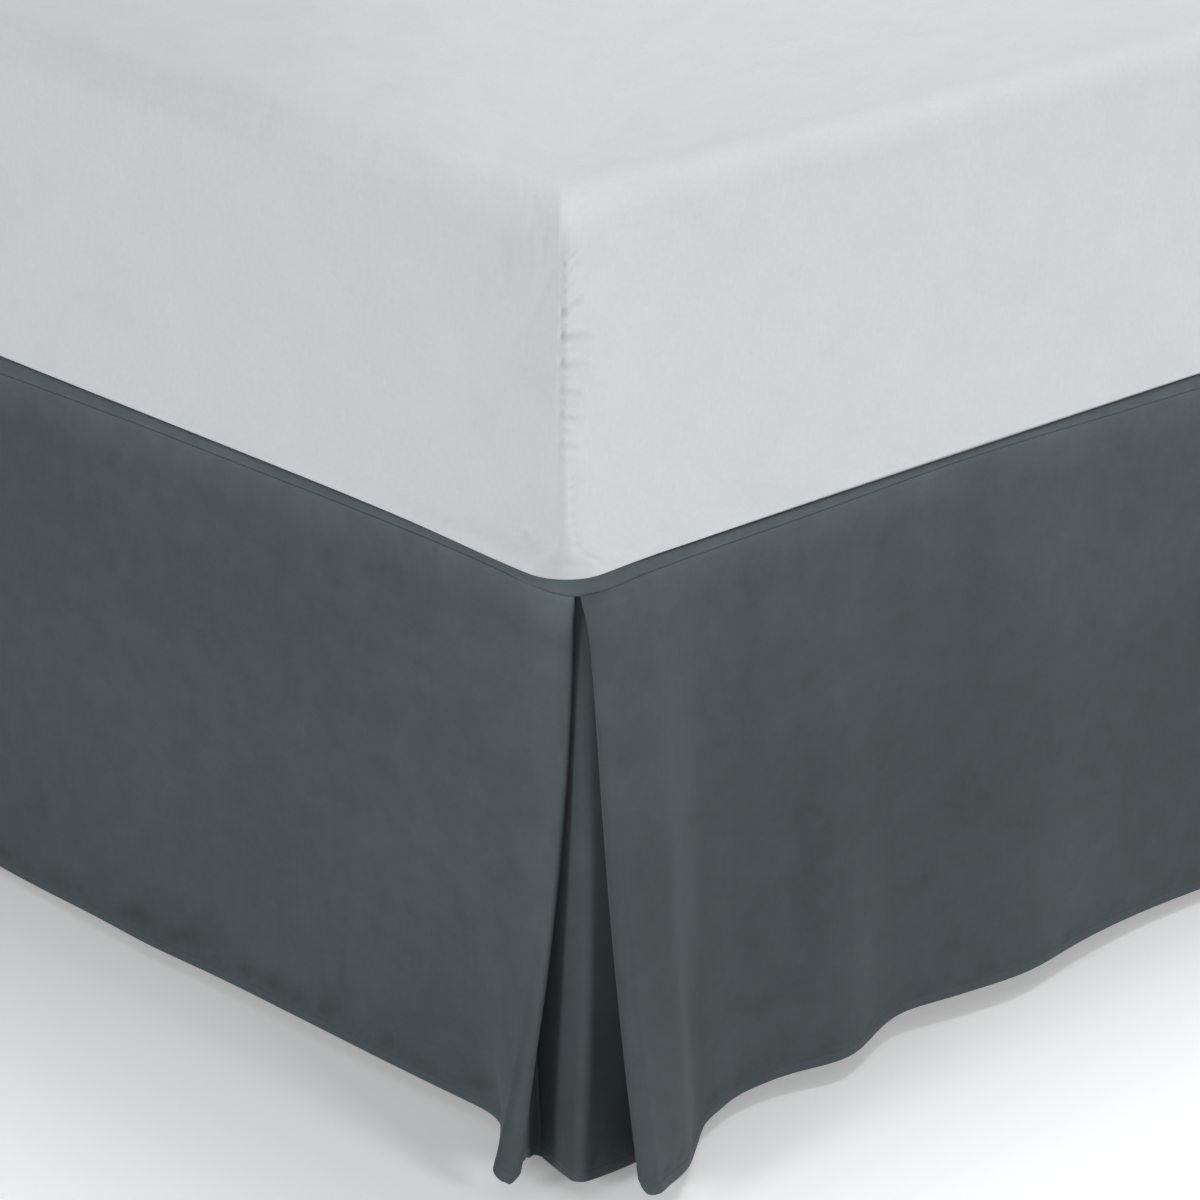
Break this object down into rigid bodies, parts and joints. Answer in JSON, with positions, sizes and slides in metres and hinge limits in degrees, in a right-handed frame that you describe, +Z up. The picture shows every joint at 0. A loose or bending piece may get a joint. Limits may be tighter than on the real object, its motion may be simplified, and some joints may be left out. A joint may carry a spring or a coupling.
{
  "type": "bed skirt on a bed",
  "caption": "Tailored bed skirt with inverted corner pleats, hanging from a deck between a plain mattress and its box spring, open at the head.",
  "frame": {"origin": "centre of the bounding box in X and Y, at the floor that the bed's legs stand on", "axes": "+Z up, +Y along the bed from its foot towards its head, +X across the bed, to the right when looking along +Y"},
  "size_m": [1.6972, 2.0873, 0.6499],
  "materials": {
    "skirt_cloth": "matte brushed microfibre, dark steel blue",
    "sheet_cotton": "matte white cotton fitted sheet",
    "ticking": "matte woven ticking",
    "leg_wood": "satin stained wood"
  },
  "bodies": {
    "root": {"deck": "skirt_cloth", "drop_foot": "skirt_cloth", "drop_right": "skirt_cloth", "drop_left": "skirt_cloth", "pleat_insert_right": "skirt_cloth", "pleat_insert_left": "skirt_cloth", "mattress": "sheet_cotton", "box_spring": "ticking", "leg_foot_left": "leg_wood", "leg_foot_right": "leg_wood", "leg_middle": "leg_wood", "leg_head_left": "leg_wood", "leg_head_right": "leg_wood"}
  },
  "joints": []
}
